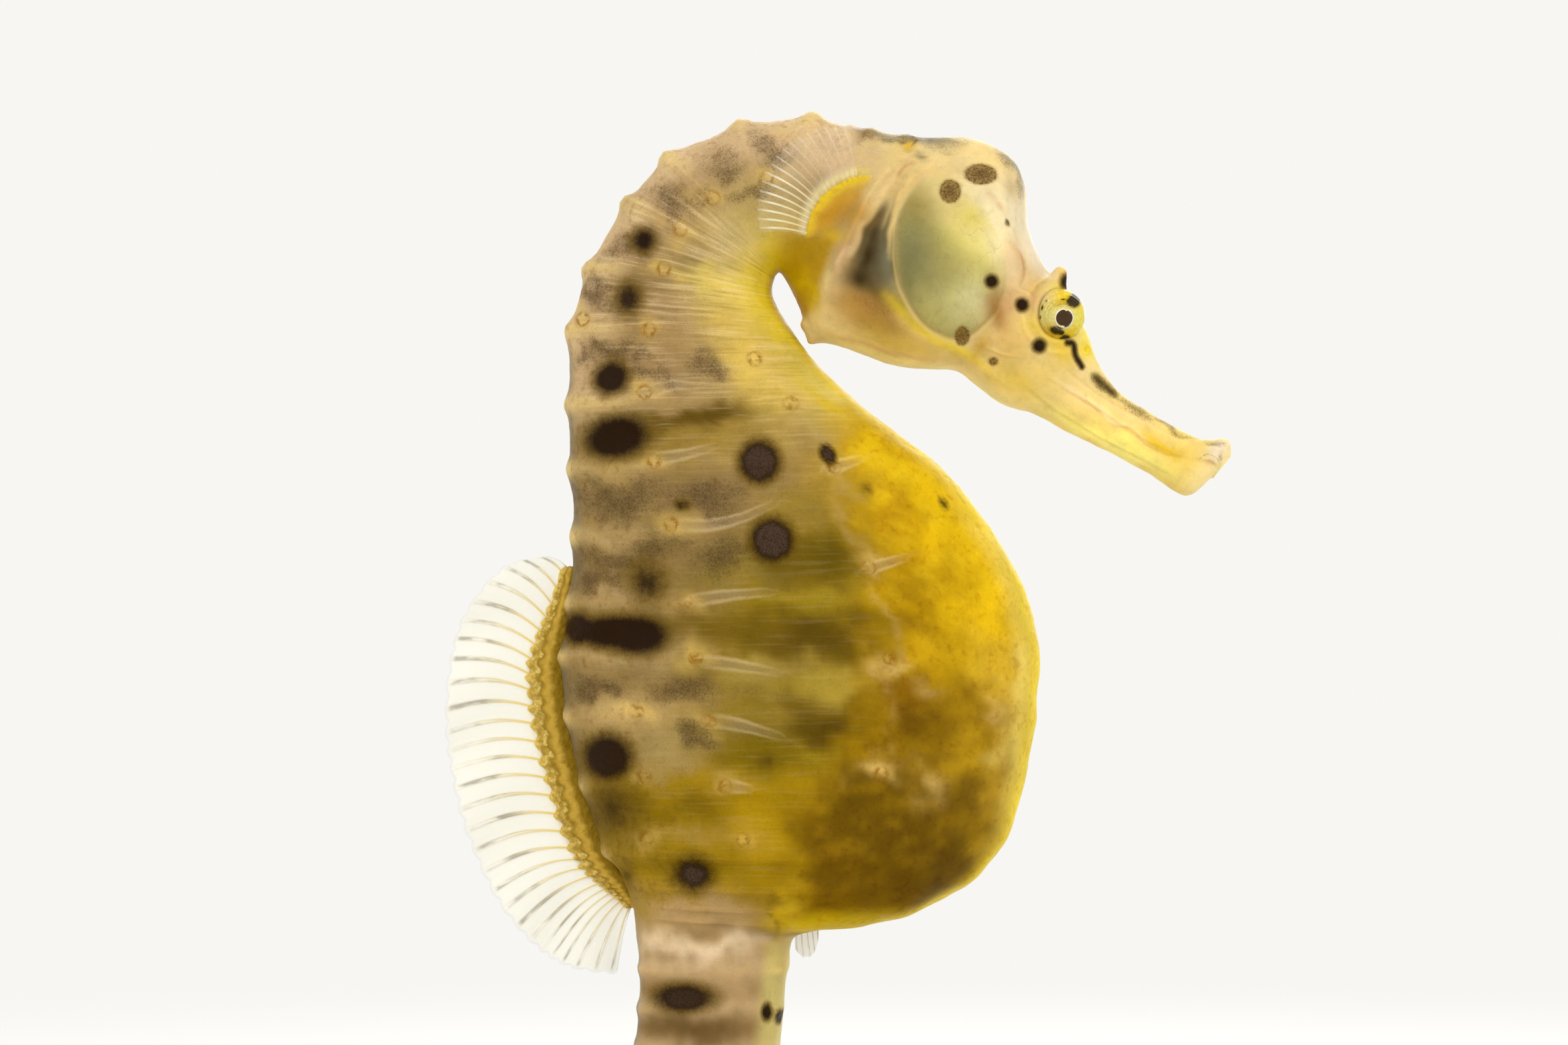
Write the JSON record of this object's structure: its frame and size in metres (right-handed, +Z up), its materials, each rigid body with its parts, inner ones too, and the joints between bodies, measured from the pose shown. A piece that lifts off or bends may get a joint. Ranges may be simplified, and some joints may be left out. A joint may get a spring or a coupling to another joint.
{
  "type": "pot-bellied seahorse model on a display stand",
  "caption": "Still life-size model of a pot-bellied seahorse with arched neck, deep belly and curled tail, held by a short rod on a flat display base.",
  "frame": {"origin": "middle of the stand base's flat underside", "axes": "+Z up, +X the way the snout points, +Y the animal's left side; Y = 0 is its plane of symmetry"},
  "size_m": [0.09, 0.056, 0.127],
  "materials": {
    "skin": "tan and golden yellow skin with dark brown spots, satin",
    "eye": "clear gloss over a dark pupil and pale iris",
    "fin_flesh": "golden brown, fine grained",
    "fin_clear": "thin clear membrane with pale rays",
    "stand_wood": "dark stained, satin varnish",
    "stand_brass": "satin"
  },
  "bodies": {
    "root": {"head": "skin", "snout": "skin", "mouth": "skin", "coronet": "skin", "gill_cover_left": "skin", "gill_cover_right": "skin", "eye_left": "eye", "eye_right": "eye", "neck": "skin", "trunk_upper": "skin", "trunk_middle": "skin", "trunk_lower": "skin", "belly": "skin", "tail_root": "skin", "tail_shaft": "skin", "tail_coil_lower": "skin", "tail_coil_outer": "skin", "tail_coil_middle": "skin", "tail_coil_inner": "skin", "tail_tip": "skin", "dorsal_fin_base": "fin_flesh", "dorsal_fin": "fin_clear", "pectoral_base_left": "fin_flesh", "pectoral_base_right": "fin_flesh", "pectoral_fin_left": "fin_clear", "pectoral_fin_right": "fin_clear", "anal_fin": "fin_clear", "stand_base": "stand_wood", "stand_collar": "stand_brass", "stand_rod": "stand_brass", "stand_cradle": "stand_brass"}
  },
  "joints": []
}
